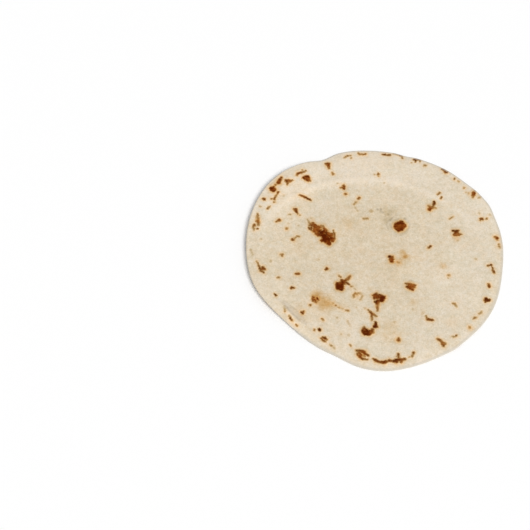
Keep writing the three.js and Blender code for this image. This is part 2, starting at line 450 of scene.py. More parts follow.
# %% Toast marks, far middle and far rim
FAR_MIDDLE = [
    (TAN, (-21.8, 66.8, 0.7)),
    (DARK, (-21.8, 64.9, 1.4), (-22, 62.8, 1.4)),
    (BROWN, (-24.8, 63.4, 0.7), (-23.1, 63.6, 1.2)),
    (CHESTNUT, (-20.9, 57.2, 1.3)),
    (DARK, (-10.8, 52.4, 0.9), (-9.9, 53.4, 1.1)),
    (TAN, (-14.4, 47, 0.9), (-12.8, 49.2, 0.9)),
    (FAINT, (-13.8, 44, 0.5), (-11.6, 40.4, 0.6)),
    (CHESTNUT, (7.1, 78.2, 0.9), (6.9, 76.9, 1.1)),
    (BROWN, (7.1, 75.4, 0.8)),
    (FAINT, (3.4, 77, 0.6)),
    (FAINT, (11.3, 68.3, 0.8)),
    (TAN, (-7.4, 32.8, 0.9), (-4.2, 32.9, 1.0)),
    (FAINT, (-0.8, 40.3, 1.6)),
    (TAN, (-20.2, 94.7, 0.8), (-19.1, 95.2, 0.9)),
    (DARK, (-17.6, 96.3, 0.9)),
    (BROWN, (-15.1, 96.7, 0.7)),
    (BROWN, (-14.5, 94, 0.8)),
    (BROWN, (-8.5, 99.6, 0.7), (-7.5, 98, 1.0), (-4, 98.1, 0.8)),
    (DARK, (-2.7, 98.2, 1.1)),
    (DARK, (11.8, 97.8, 0.9), (14, 97.9, 1.0)),
    (TAN, (14, 97.6, 0.8), (16.2, 97.2, 0.8)),
    (DARK, (16.3, 97.2, 0.9), (17.9, 97.4, 0.9)),
    (TAN, (20.8, 98.2, 0.5), (24, 97.7, 0.5)),
    (CHESTNUT, (25.4, 97, 0.6), (27.6, 96.5, 1.1)),
    (TAN, (28, 95.5, 0.6), (28, 93.8, 0.6)),
    (BROWN, (28.1, 93.7, 0.9)),
    (CHARRED, (37.4, 92.3, 0.8), (39, 92, 0.9)),
    (DARK, (40.6, 92.5, 0.8), (42, 92.2, 0.6)),
    (BROWN, (38.9, 91.2, 0.8), (38.6, 89.8, 0.5)),
    (TAN, (42.2, 91.5, 0.7), (42.4, 90.2, 0.7)),
    (BROWN, (46.1, 86.6, 0.8), (46.9, 86.2, 0.8)),
    (TAN, (45.2, 85.6, 0.6)),
    (DARK, (60.2, 82.6, 0.8), (61.7, 81.3, 1.0)),
    (DARK, (61.8, 80.8, 0.9), (63.4, 79.2, 1.2)),
    (CHESTNUT, (62.4, 79.2, 1.1)),
    (DARK, (69.3, 72.5, 0.95)),
    (TAN, (72.5, 69.8, 1.1)),
    (BROWN, (76.3, 63.4, 1.0)),
    (TAN, (77.3, 58.7, 0.8)),
    (FAINT, (79, 57.7, 0.9)),
    (FAINT, (35, 88.7, 0.6)),
    (DARK, (83.8, 58.2, 1.7), (83.3, 56.7, 1.6)),
    (BROWN, (82.4, 55.2, 1.4)),
    (TAN, (82.4, 53.8, 1.0)),
    (TAN, (84.4, 60, 0.7)),
    (TAN, (87, 53, 0.8), (88.1, 54.1, 0.9)),
]
print(len(FAR_MIDDLE), "marks")

# %% Toast marks, middle and right
RIGHT = [
    (DARK, (20.7, 25.4, 4.7)),
    (DARK, (23.3, 26.2, 3.2)),
    (DARK, (20.2, 22.7, 2.6), (22.6, 24.2, 2.4)),
    (CHARRED, (22.4, 29.2, 2.1)),
    (CHARRED, (23, 30.3, 0.8)),
    (CHARRED, (19.8, 22.5, 1.6)),
    (DARK, (11, -3.2, 1.3), (13, -3.8, 1.4)),
    (CHESTNUT, (12.5, -5.5, 2.0)),
    (DARK, (12.5, -7.4, 1.7)),
    (CHARRED, (10.7, -3.2, 0.9)),
    (FAINT, (17.8, -8.4, 0.9)),
    (DARK, (42.2, 5, 0.8), (44.1, 6.5, 0.9)),
    (CHESTNUT, (54.2, 56.8, 0.8), (55.9, 58.5, 0.8)),
    (CHESTNUT, (56.2, 52.6, 0.8), (56.9, 54, 0.8)),
    (CHARRED, (50.9, 49.5, 0.9), (50.7, 48.2, 1.2)),
    (DARK, (50.7, 47.8, 1.1), (49.8, 45.9, 0.8)),
    (BROWN, (49.7, 45.8, 0.7), (48.6, 43.9, 0.9)),
    (TAN, (46, 45, 1.2), (48.3, 43.4, 1.4)),
    (FAINT, (46.6, 43.2, 1.3)),
    (DARK, (46, 41.7, 1.6)),
    (TAN, (49.4, 43.9, 0.8), (51.6, 43, 0.9)),
    (CHESTNUT, (61.4, 32.5, 0.4), (62.8, 33.4, 0.6), (64.6, 35, 0.3)),
    (CHARRED, (62.8, 21, 0.9)),
    (CHARRED, (65.6, 21.1, 1.1), (66.7, 21, 1.3)),
    (DARK, (63.8, 20.9, 1.2)),
    (CHESTNUT, (65.1, 19.2, 1.7), (66.2, 19.2, 1.5)),
    (DARK, (66, 17.5, 1.6), (67.1, 17.5, 1.4)),
    (FAINT, (66, 12, 0.7)),
    (CHESTNUT, (63.9, 17.2, 1.4)),
    (BROWN, (67.8, 17.9, 0.8), (69.7, 17.9, 0.6)),
    (DARK, (86.6, 32.6, 1.3), (87.8, 32.4, 1.3)),
    (BROWN, (86, 31, 0.8)),
    (DARK, (90.9, 32.4, 0.7), (91.6, 33, 0.8)),
    (FAINT, (86, 38.3, 1.0)),
    (FAINT, (94.3, 36.7, 0.9)),
    (BROWN, (96, 15.2, 1.2)),
    (DARK, (97.2, 14, 1.5)),
    (BROWN, (97.2, 12.7, 1.0)),
    (BROWN, (98.2, 8.3, 1.0)),
    (TAN, (98.1, 6.1, 1.2), (98.6, 5, 0.7)),
    (BROWN, (54.9, -20.4, 0.9), (56.1, -20.3, 1.0)),
    (FAINT, (55, -23, 0.4)),
    (FAINT, (78.5, -5.5, 1.1)),
    (BROWN, (87.1, -11.7, 0.7), (88.4, -11.4, 0.7)),
    (CHARRED, (89.7, -11, 1.1)),
    (DARK, (89.9, -11.6, 0.7)),
    (FAINT, (90.4, -12.8, 0.4), (90.8, -14.6, 0.4)),
    (DARK, (90.9, -16.1, 1.0), (91.1, -17.8, 0.9)),
    (DARK, (85.8, -28.5, 1.1), (86, -30.3, 1.2)),
    (CHARRED, (82.3, -41.2, 1.3), (81.9, -42.6, 1.4)),
    (DARK, (81.4, -43.8, 0.7)),
    (CHARRED, (83.2, -42.8, 1.3), (85.1, -42.4, 0.9)),
]
print(len(RIGHT), "marks")

# %% Toast marks, middle of the near half
NEAR_MIDDLE = [
    (CHARRED, (-30.1, -28.4, 2.1), (-30.1, -31.4, 2.1)),
    (CHARRED, (-27.9, -30.3, 2.2), (-27.9, -32.2, 2.1)),
    (DARK, (-27.8, -27.9, 1.9)),
    (DARK, (-27.3, -24.8, 1.2), (-25.7, -26.4, 1.6), (-25.2, -28, 1.0)),
    (CHESTNUT, (-25, -25.3, 1.2), (-22.6, -23.9, 1.2)),
    (BROWN, (-22.3, -23.7, 1.1), (-20.8, -21.6, 1.3)),
    (DARK, (-24, -26.9, 1.0), (-21.3, -28.8, 0.6)),
    (FAINT, (-20.4, -30, 0.5), (-16.5, -33.5, 0.6)),
    (BROWN, (-29.2, -20.4, 0.7), (-27.9, -21.9, 0.8)),
    (BROWN, (22, -27.8, 0.9), (24.6, -28.3, 1.4)),
    (CHESTNUT, (25.9, -30, 2.7)),
    (CHESTNUT, (27.2, -29.2, 1.5), (29.4, -29.2, 0.9)),
    (DARK, (22.9, -30.8, 1.2), (25, -32, 1.5)),
    (DARK, (26.7, -32.8, 1.5)),
    (DARK, (27.9, -31, 1.4)),
    (TAN, (-18.4, -39.6, 0.9), (-18.7, -37.8, 0.8), (-17, -36.5, 1.1)),
    (BROWN, (-17, -36.8, 0.7), (-15.8, -37.2, 0.8)),
    (FAINT, (-15.2, -36, 0.7), (-12.6, -37, 0.8)),
    (TAN, (-12.2, -38.4, 0.6), (-12.3, -40, 0.6), (-13.8, -42, 0.6)),
    (DARK, (-0.9, -36.6, 1.1), (-2.7, -38.8, 1.8)),
    (DARK, (0.4, -37.6, 1.0), (2.6, -38.8, 1.1)),
    (CHESTNUT, (-2.8, -40.8, 1.3)),
    (CHESTNUT, (-0.6, -40, 1.9)),
    (CHARRED, (2.2, -40.3, 2.1), (4.2, -40.2, 1.8)),
    (CHARRED, (2.6, -42.2, 2.1)),
    (DARK, (5.2, -39.5, 0.8)),
    (CHARRED, (-2.6, -43.9, 0.9)),
    (BROWN, (-0.6, -43.8, 1.8), (-0.9, -47, 1.5), (-1.1, -52, 0.9)),
    (CHESTNUT, (-8, -51, 0.5), (-5.4, -54.3, 1.4)),
    (BROWN, (-5, -54.6, 1.3), (-1.9, -56.8, 0.7)),
    (CHESTNUT, (-5.6, -55, 1.0), (-5.8, -57.8, 0.9)),
    (TAN, (-5.8, -58, 0.8), (-6, -60.3, 0.6)),
    (CHARRED, (-3.1, -61.8, 0.9), (-3.3, -64.3, 1.5)),
    (CHARRED, (-4.2, -65.5, 1.4), (-2.8, -65.4, 1.3)),
    (DARK, (-12.1, -65.8, 0.8), (-12, -67.6, 1.5)),
    (CHARRED, (-12.6, -69.3, 1.7), (-12, -70.9, 1.8)),
    (CHARRED, (-12, -71.3, 1.5), (-8.8, -71.8, 1.5)),
    (CHARRED, (-10.4, -69.2, 2.0)),
    (DARK, (-7.6, -69.6, 1.5)),
    (CHESTNUT, (-7.4, -71, 1.4), (-5.9, -68.4, 1.4)),
    (DARK, (-6.3, -68.4, 0.8)),
    (BROWN, (-5.3, -70.2, 1.0)),
    (DARK, (13.4, -75.7, 1.1), (12.9, -77.1, 1.3)),
    (FAINT, (11, -61.5, 0.8)),
    (FAINT, (25.8, -50.3, 0.8)),
    (FAINT, (33.1, -53.5, 1.0)),
    (BROWN, (35.1, -56.2, 0.5), (35.6, -57.8, 0.8)),
    (DARK, (36.2, -59.2, 1.1), (37.4, -59.6, 1.1), (39.8, -59.6, 1.0)),
    (BROWN, (56.7, -45.4, 0.8), (58.2, -45.5, 0.8)),
    (TAN, (58.4, -46, 0.9), (59, -48.2, 0.9)),
]
print(len(NEAR_MIDDLE), "marks")

# %% Toast marks, near left
NEAR_LEFT = [
    (BROWN, (-49.8, -39.9, 0.7), (-48.6, -39.9, 0.5)),
    (CHESTNUT, (-50.5, -41.3, 0.5), (-49.7, -43.4, 0.6)),
    (DARK, (-48.9, -44, 0.4), (-47.5, -44.5, 0.6)),
    (CHESTNUT, (-46.6, -40.7, 0.6), (-45.7, -42.4, 0.6)),
    (BROWN, (-48.9, -41.8, 0.4), (-48, -42.6, 0.4)),
    (TAN, (-34.3, -45.2, 0.8)),
    (BROWN, (-32.6, -47.2, 0.8)),
    (TAN, (-30.8, -48.6, 0.7), (-29.6, -49.1, 0.6)),
    (FAINT, (-27.8, -50, 0.8)),
    (BROWN, (-25.2, -51.3, 0.7), (-23.4, -51.7, 0.8)),
    (BROWN, (-52, -46.7, 1.0)),
    (CHARRED, (-58.6, -53.1, 0.9), (-58, -53.8, 1.1)),
    (TAN, (-57.2, -52.4, 0.7)),
    (BROWN, (-43.5, -58.7, 0.7), (-42.5, -59.9, 0.7)),
    (FAINT, (-32, -57.8, 0.8)),
    (TAN, (-24.4, -60.4, 0.6)),
    (FAINT, (-24.4, -60.5, 0.6), (-22.4, -65, 0.6)),
    (FAINT, (-17, -48.8, 0.9)),
    (FAINT, (-10.8, -49, 0.9)),
    (CHARRED, (-46, -67.6, 0.8), (-45.4, -68.2, 1.2)),
    (CHARRED, (-45.1, -68.6, 1.0)),
    (BROWN, (-49.4, -68.1, 0.7), (-49.5, -68.9, 0.6)),
    (DARK, (-43.2, -74.6, 0.7), (-41.6, -74.9, 1.0), (-40.5, -76.3, 1.0)),
    (BROWN, (-45, -75.2, 0.5), (-43.6, -77, 0.5), (-41.6, -78.2, 0.6)),
    (BROWN, (-38, -80.9, 0.6), (-37.2, -81.5, 0.7)),
    (FAINT, (-35.4, -83, 0.6), (-34.9, -83.9, 0.6)),
    (FAINT, (-23.8, -72.8, 0.9)),
    (FAINT, (-29.5, -71.8, 0.8)),
    (BROWN, (-23.5, -80.8, 0.5), (-22.5, -81.6, 0.7)),
]
print(len(NEAR_LEFT), "marks")

# %% Toast marks, near rim
NEAR_RIM = [
    (DARK, (-18.8, -85.6, 0.6), (-16.2, -85.6, 1.0)),
    (CHESTNUT, (-15.5, -86, 1.4), (-12.8, -87.2, 1.6)),
    (CHESTNUT, (-16.8, -87.6, 1.3), (-15.2, -89.2, 1.3)),
    (TAN, (-14.6, -89.4, 0.8), (-12.4, -90.4, 0.7)),
    (DARK, (-12.9, -87.7, 1.3), (-10.4, -89.6, 1.0)),
    (DARK, (-17.9, -88.6, 1.1), (-16.4, -90.6, 1.4)),
    (CHESTNUT, (-16.2, -91, 1.1), (-14.4, -92.6, 0.8)),
    (DARK, (-14.2, -92.5, 0.7), (-11, -93.1, 0.7)),
    (DARK, (-6.3, -92.6, 1.0), (-4.7, -94.2, 1.4)),
    (DARK, (-4.4, -94.3, 1.2), (-1.5, -95.2, 1.1), (1.3, -95.5, 1.3)),
    (CHARRED, (1.6, -95.3, 1.5), (2.7, -94.6, 1.2)),
    (DARK, (4.9, -94, 1.3), (6.6, -94.2, 1.2)),
    (CHARRED, (8.8, -94.4, 1.3), (10.1, -94.7, 1.5)),
    (DARK, (10, -93.4, 1.0), (12.5, -93.1, 1.7)),
    (CHARRED, (13, -93.4, 1.2)),
    (DARK, (13.9, -94.8, 1.4)),
    (DARK, (14.3, -93.4, 1.4), (17, -92.5, 0.8)),
    (DARK, (12.1, -88.5, 0.9), (12.1, -89.6, 0.9)),
    (TAN, (12.2, -91.2, 0.8)),
    (TAN, (11, -90.4, 0.5)),
    (DARK, (23.6, -87.2, 1.0), (23.3, -88.4, 0.9)),
    (BROWN, (22.9, -89.4, 0.5), (21.9, -90.7, 0.7)),
    (TAN, (20.2, -90.9, 0.6)),
    (CHESTNUT, (42.3, -76, 1.0), (43.8, -77.1, 1.1)),
    (BROWN, (44.8, -77.7, 1.2), (46, -79.7, 1.9)),
    (BROWN, (46.7, -79.4, 1.2), (48, -79.9, 0.7)),
    (DARK, (46.1, -81.9, 1.0)),
    (TAN, (53.2, -74.2, 0.6), (54.8, -74, 0.6)),
    (DARK, (56.4, -73.1, 0.7)),
    (BROWN, (67.3, -66.2, 1.3)),
    (BROWN, (70.9, -58.8, 0.7), (72.2, -58, 1.0), (73, -57.7, 0.7)),
    (TAN, (75.8, -54.4, 0.9), (77.6, -52.9, 0.8)),
]
UPPER_MARKS = FAR_LEFT + LEFT + LONG_BURN + FAR_MIDDLE + RIGHT + NEAR_MIDDLE + NEAR_LEFT + NEAR_RIM
print(len(UPPER_MARKS), "marks in all")

# %% [markdown]
# ## How far from a mark
#
# To colour a mark and its soft surround, each point needs to know how far it is from the
# nearest mark. The distance to a tapered streak is the distance to the nearest place on its
# line, less the half width there, so it is negative inside. Neighbouring marks hand over their
# depth of toasting and their size gradually: each counts by
# exp(darker wins · depth - distance / handover).

# %% Distance to the marks
FARTHEST = 9.0  # mm, past which no mark matters
HANDOVER, HANDOVER_INSIDE = 0.5, -0.8
DARKER_WINS = 8.0
MARK_SPREAD = 0.1  # a mark ends a little outside its half width


def off_stretch(x, y, start, end):
    """How far a place is off the line from start to end, and the half width there.

    Along the line, share = (place - start) · (end - start) / length², held between 0 and 1.
    """
    (ax, ay, a_half), (bx, by, b_half) = start, end
    run_x, run_y = bx - ax, by - ay
    length_squared = max(run_x**2 + run_y**2, 1e-9)
    share = np.clip(((x - ax) * run_x + (y - ay) * run_y) / length_squared, 0, 1)
    off_line = np.hypot(x - ax - share * run_x, y - ay - share * run_y)
    return off_line, a_half + share * (b_half - a_half)


def toasting(marks, x, y):
    """Distance outside the nearest mark, and the depth and half width of the marks nearby."""
    nearest = np.full(x.shape, FARTHEST)
    depth_sum, half_sum, weight_sum = (np.zeros(x.shape) for _ in range(3))
    for depth, *points in marks:
        for start, end in zip(points, points[1:] or points):
            off_line, half = off_stretch(x, y, start, end)
            outside = np.minimum(off_line - half - MARK_SPREAD, FARTHEST)
            weight = np.exp(DARKER_WINS * depth - np.maximum(outside, HANDOVER_INSIDE) / HANDOVER)
            nearest = np.minimum(nearest, outside)
            depth_sum += weight * depth
            half_sum += weight * half
            weight_sum += weight
    return nearest, depth_sum / weight_sum, half_sum / weight_sum


near, *_ = toasting(UPPER_MARKS, np.array([20.0]), np.array([25.0]))
print("distance within the round blister's mark, mm:", near.round(1))

# %% [markdown]
# ## Golden clouds
#
# Round some marks, and on the broad blister, the dough is only just toasted: a soft golden
# cloud with no edge. Other clouds are painted shade: in the sunken hollow beside the round
# blister, where they are partly golden toast too, and round the crease at the lower left, where
# they add painted shade and, with a negative strength, a painted highlight. Some with no gold
# only make broad areas darker or lighter. Each is a bell round a point, with two strengths: how
# much darker it makes the dough, and how much more golden. The middle of the round lies
# flattest on the griddle and is toasted most. Beyond the step it hardly touched the griddle and
# stays pale, and the lip of the step gets a painted highlight.

# %% Golden clouds
CLOUDS = [  # x, y, half width, darker, more golden
    (-47, -38, 4, 0.24, 0.46),
    (-41.5, -43, 5, 0.15, 0.28),
    (-37.5, -46.5, 4.5, 0.17, 0.3),
    (-43.5, -47.5, 4, 0.13, 0.2),
    (23.5, -3, 2.5, 0.29, 0.48),
    (21.5, 1, 2.7, 0.13, 0.3),
    (18, -9, 2.8, 0.1, 0.32),
    (52.3, -11.5, 2.8, 0.13, 0.32),
    (33, -3, 6, 0.01, 0.07),
    (21, -5, 6, 0.04, 0.1),
    (-29, -48.5, 4, 0.03, 0.1),
    (-79, 56, 6, 0.02, 0.08),
    (7, -66, 6, 0.06, 0.1),
    (5, -74, 5, 0.05, 0.1),
    (55, -61, 6, 0.02, 0.1),
    (26.8, -43.7, 3.4, 0.1, 0.2),
    (-16.5, -38.2, 3.6, 0.03, 0.22),
    (-14.5, -89.5, 3.2, 0.04, 0.25),
    (-92, 31, 2.8, 0.06, 0.3),
    (65, 13.5, 3, 0.05, 0.1),
    (47.5, 44, 3.2, 0.03, 0.16),
    (-20, 28, 6, 0.05, 0.1),
    (-59, 7, 7, 0.02, 0.08),
    # painted shade in the sunken hollow beside the round blister, partly golden toast
    (12.5, 37, 5, 0.11, 0.05),
    (10.5, 31, 3.5, 0.08, 0.0),
    (14.5, 42.5, 3.5, 0.06, 0.0),
    (9, 42, 4, 0.04, 0.0),
    (62, 58, 22, 0.03, 0.0),
    (40, 60, 8, 0.025, 0.0),
    (20, 85, 9, 0.03, 0.0),
    (93, -21, 4.5, 0.03, 0.0),
    (87, -42, 5, 0.03, 0.0),
    (-62, 50, 12, 0.035, 0.02),
    (-66, 64, 16, 0.015, 0.07),
    (72, -8, 15, -0.02, -0.02),
    (-50, -52, 18, 0.005, 0.04),
    (0, 92, 22, 0.005, 0.04),
    (-40, 62, 8, 0.025, 0.0),
    (76, 46, 13, 0.035, 0.0),
    (59, 79.5, 3, 0.05, 0.05),
    (42, -20, 20, -0.028, 0.0),
    (66, -42, 20, -0.02, 0.0),
    (-28, -96, 9, -0.035, 0.0),
    (5, -100, 12, -0.035, 0.0),
    (34, -92, 12, -0.035, 0.0),
    # painted shade round the crease, and where the darkening is negative a painted highlight
    (-72, -56, 4, 0.04, 0.04),
    (-66, -64, 5, -0.05, 0.1),
    (-61, -54, 6, 0.02, 0.08),
    (-48.4, -41.8, 2.3, 0.26, 0.4),
    (-43, -76.2, 1.7, 0.25, 0.32),
    (12, -74, 6, 0.04, 0.08),
    (-75, 0, 34, 0.03, 0.02),
    (10, -18, 9, 0.03, 0.02),
    (-62, -44, 9, 0.035, 0.0),
]
BLUSH_MIDDLE, BLUSH_RIM = (0.105, 0.085), (0.064, 0.05)
BLUSH_FROM, BLUSH_TO = 20, 90
# the second pair paints a highlight on the lip of the step: lighter and a touch more golden
PALE_BEYOND, LIP_PAINTED_HIGHLIGHT = (0.045, 0.01), (0.045, -0.02)
PALE_EASE, LIP_HALF_WIDTH = 4, 3.6
PALE_FROM, PALE_TO = 5, 55


def clouds(x, y, which):
    """The sum of strength · bell(distance, half width), for which = 0 (darker) or 1 (golden)."""
    total = 0
    for middle_x, middle_y, half_width, *strengths in CLOUDS:
        total = total + strengths[which] * bell(np.hypot(x - middle_x, y - middle_y), half_width)
    return total


def blush(x, y, which):
    """A slow fall from middle to rim, less the paleness past the step and a painted lip highlight."""
    away = rising(np.hypot(x - ROUND_MIDDLE[0], y - ROUND_MIDDLE[1]), BLUSH_FROM, BLUSH_TO)
    past = np.hypot(x - STEP_MIDDLE[0], y - STEP_MIDDLE[1]) - STEP_RADIUS
    beyond = PALE_BEYOND[which] * rising(past, -PALE_EASE, PALE_EASE)
    pale = beyond + LIP_PAINTED_HIGHLIGHT[which] * bell(past, LIP_HALF_WIDTH)
    fall = (BLUSH_RIM[which] - BLUSH_MIDDLE[which]) * away
    return BLUSH_MIDDLE[which] + fall - pale * rising(y, PALE_FROM, PALE_TO)


print(len(CLOUDS), "clouds")

# %% [markdown]
# ## Shaded lines
#
# Some lines on the dough are not toast but painted shade: wrinkles where it sank beside the
# round blister, the crease at the lower left with its grey hollow, and a short fold at the dent.
# Each is a streak like a mark, with the share of light that it loses, painted into the colour.
# A negative share paints a highlight instead: the crease's pale outer strip, and a bright line
# along the raised left rim. They add up, and each is also pressed into the face.

# %% Shaded lines
SHADES = [  # share of light lost, then points of x, y and half width
    # painted shade in the crease and its grey hollow, then a painted highlight on its outer strip
    (0.1, (-79, -38.5, 0.4), (-74.5, -43.5, 0.6), (-70, -49, 0.7)),
    (0.13, (-70, -49, 0.7), (-66, -54, 0.8), (-61, -59.5, 0.7)),
    (0.12, (-72, -43.5, 1.2), (-66, -50.5, 2.2), (-60, -57.5, 2.2), (-56, -62.5, 1.2)),
    (-0.02, (-84, -38, 1.5), (-76, -48, 2.6), (-68, -58.5, 2.8), (-57, -70, 2.4)),
    # painted shade in the short fold at the dent
    (0.05, (-33, 92, 0.4), (-25, 91, 0.5), (-20, 86, 0.4)),
    # a painted highlight along the raised left rim
    (-0.04, (-101.5, -8, 1.2), (-100, 20, 1.8), (-94.5, 46, 2.0), (-84, 66, 1.8), (-66, 83, 1.2)),
    # painted shade in the wrinkles and dots beside the round blister, and in a few small dots
    (0.17, (14.6, 24, 0.5), (13, 28.4, 0.5)),
    (0.15, (11.6, 23.6, 0.4), (10.2, 27, 0.6), (12, 31, 0.5), (15.5, 34.2, 0.4)),
    (0.08, (8, 28, 0.4), (9.6, 32.5, 0.4), (10, 37, 0.4)),
    (0.13, (25.5, 33.2, 0.5), (28.3, 31, 0.5), (29.2, 27.4, 0.5), (28, 23.8, 0.4)),
    (0.09, (28.2, 23.8, 0.4), (25.2, 20, 0.5), (22, 17.6, 0.5)),
    (0.05, (31.5, 25.5, 0.4), (29.5, 21, 0.4), (33, 19.5, 0.3)),
    (0.07, (16, 17.6, 0.5), (18.6, 16.5, 0.5), (21, 17.2, 0.4)),
    (0.05, (20.5, 15.2, 0.3), (25.5, 15.7, 0.3)),
    (0.15, (13.6, 31.3, 0.5), (15.8, 33.2, 0.5)),
    (0.16, (17.6, 31.9, 0.6)),
    (0.18, (20.3, 32.8, 0.6)),
    (0.16, (25.8, 33, 0.7)),
    (0.15, (12.4, 37.6, 0.7)),
    (0.12, (15.3, 37.6, 0.6)),
    (0.14, (11.5, 33.6, 0.5)),
    (0.11, (18.6, 36.2, 0.6)),
    (0.08, (14.6, 41, 0.6), (15.8, 39.4, 0.5)),
    (0.27, (4.2, 42.2, 0.7)),
    (0.3, (6.7, 42.4, 0.8)),
    (0.23, (6.7, 40.4, 0.5), (8.2, 39.2, 0.8)),
    (0.04, (28.7, 44, 0.5)),
    (0.04, (35.2, 45.4, 0.4)),
    (0.04, (8.7, 9.8, 0.8)),
]
SHADE_FADE = 0.9
SHADE_DEPTH = 1.1  # mm pressed in at a share of 1


def shading(x, y):
    """The sum of share · (1 - rising), with the fall from inside the streak's edge to outside it."""
    total = np.zeros(x.shape)
    for share, *points in SHADES:
        outside = np.full(x.shape, FARTHEST)
        for start, end in zip(points, points[1:] or points):
            off_line, half = off_stretch(x, y, start, end)
            outside = np.minimum(outside, off_line - half)
        total += share * (1 - rising(outside, -SHADE_FADE / 2, SHADE_FADE))
    return total


print(len(SHADES), "shaded lines")

# %% [markdown]
# ## The underside
#
# The photograph doesn't show the underside, but the part is seen from all sides. It was
# toasted too, so it gets marks of its own: seeded random streaks, most of them small, a few
# large, spread evenly over the round. The square root makes the spread even, because a ring
# twice as far out has twice the room.

# %% The underside
UNDER_MARK_COUNT = 105
MARK_SIZE, MARK_SIZE_SPREAD = 0.8, 0.62
MARKS_REACH, MARK_STEP = 97, 1.3
UNDER_CLOUD_STRENGTHS = (0.08, 0.2)  # darker, more golden
draw = np.random.default_rng(27)


def drawn_mark():
    """A streak of two or three points that starts anywhere and wanders by a few half widths."""
    half = MARK_SIZE * math.exp(abs(draw.normal()) * MARK_SIZE_SPREAD)
    angle, away = draw.uniform(0, 2 * np.pi), MARKS_REACH * math.sqrt(draw.uniform(0, 1))
    x, y = ROUND_MIDDLE[0] + away * math.cos(angle), ROUND_MIDDLE[1] + away * math.sin(angle)
    points = [(x, y, half)]
    for _ in range(draw.integers(1, 3)):
        x, y = x + draw.normal() * MARK_STEP * half, y + draw.normal() * MARK_STEP * half
        points.append((x, y, half * draw.uniform(0.45, 0.9)))
    return (min(1.0, draw.uniform(0.25, 0.8) + 0.12 * half), *points)


UNDER_MARKS = [drawn_mark() for _ in range(UNDER_MARK_COUNT)]
UNDER_CLOUDS = [(x, y, 3 * half + 1.5) for _, (x, y, half), *_ in UNDER_MARKS[::6]]


def under_clouds(x, y, which):
    """The same sum of bells, round every sixth mark of the underside."""
    return sum(
        UNDER_CLOUD_STRENGTHS[which] * bell(np.hypot(x - middle_x, y - middle_y), half_width)
        for middle_x, middle_y, half_width in UNDER_CLOUDS
    )


print(len(UNDER_MARKS), "marks on the underside")

# %% [markdown]
# ## Where the points go
#
# The mesh is a row of closed rings, from the middle of the upper face out to the rim, round
# its soft edge and back to the middle of the underside. A grid in x and y would leave a ragged
# rim, and a fan would crowd its points in the middle. Rings that gain six points each keep
# the spacing even everywhere. Every point has three numbers: its angle, its share of the way
# out, and how far the surface has turned over, from 0 on top to 180 underneath.

# %% Where the points go
UPPER_RINGS, UNDER_RINGS = 158, 62
POINTS_PER_RING = 6
EDGE_STEPS = 8
EDGE_DEPTH = 1.5


def places_on_rings(counts):
    """For each point: its ring's number, and its angle, 360 · place / count."""
    ring = np.repeat(np.arange(len(counts)), counts)
    first = np.repeat(np.cumsum(counts) - counts, counts)
    return ring, 360 * (np.arange(len(ring)) - first) / counts[ring]


upper_counts = np.maximum(1, POINTS_PER_RING * np.arange(UPPER_RINGS))
edge_counts = np.full(EDGE_STEPS + 1, POINTS_PER_RING * UPPER_RINGS)
under_counts = np.maximum(1, POINTS_PER_RING * np.arange(UNDER_RINGS))[::-1]
ring_counts = np.concatenate([upper_counts, edge_counts, under_counts])
ring_shares = np.concatenate(
    [
        np.arange(UPPER_RINGS) / UPPER_RINGS,
        np.ones(EDGE_STEPS + 1),
        np.arange(UNDER_RINGS)[::-1] / UNDER_RINGS,
    ]
)
ring_turns = np.concatenate(
    [
        np.zeros(UPPER_RINGS),
        180 * np.arange(EDGE_STEPS + 1) / EDGE_STEPS,
        np.full(UNDER_RINGS, 180.0),
    ]
)
ring, angle = places_on_rings(ring_counts)
share, turn = ring_shares[ring], ring_turns[ring]
print(len(ring_counts), "rings,", len(angle), "points")

# %% [markdown]
# ## The face without its crust
#
# First the plain shape: outline, lift, thickness and the larger forms, with lumps of about
# 10 mm and of 3 mm and crinkles in the sunken dough.

# %% The face without its crust
LUMP_HEIGHT, PEBBLE_HEIGHT, CRINKLE_HEIGHT = 0.07, 0.03, 0.12
SUNKEN = (12, 36, 14)  # x, y, radius
rim = rim_radius(angle)
radius = share * (rim - EDGE_DEPTH)
inset = rim - radius
out_x, out_y = np.cos(np.radians(angle)), np.sin(np.radians(angle))
x = ROUND_MIDDLE[0] + radius * out_x
y = ROUND_MIDDLE[1] + radius * out_y

inside = rising(inset, 0, THINNING_BAND / 2)
pebbles = LUMP_HEIGHT * grain(x, y, 11, 2) + PEBBLE_HEIGHT * grain(x, y, 3.2, 3)
crinkles = CRINKLE_HEIGHT * dome(x, y, *SUNKEN) * grain(x, y, 2.6, 4)
under = lift(angle, inset)
upper = (
    under
    + thickness(x, y, inset)
    + (step(x, y) + crease(angle, inset) + pebbles + crinkles) * inside
    + blisters(x, y)
    - HOLLOW[3] * dome(x, y, *HOLLOW[:3])
)
print("upper face, mm:", upper.min().round(2), "to", upper.max().round(2))

# %% [markdown]
# ## Marks onto the face
#
# The marks were read off the photograph as if the whole face lay in the ground's plane. A
# place that stands higher is seen further back, so each point is first slid down the line of
# sight to the ground, and there the distances are taken. On the raised side that is more than
# two millimetres.

# %% Marks onto the face
EYE = (-86.36, -435.6, 680.4)
READING_SHIFT = -0.46  # mm in y by which all readings turned out to be off


def seen_at(x, y, z):
    """Where the line from the eye through a place meets the ground, plus the reading shift.

    It is eye + (place - eye) · H / (H - z), for an eye at height H and a place at height z.
    """
    stretch = EYE[2] / (EYE[2] - z)
    return EYE[0] + (x - EYE[0]) * stretch, EYE[1] + (y - EYE[1]) * stretch + READING_SHIFT


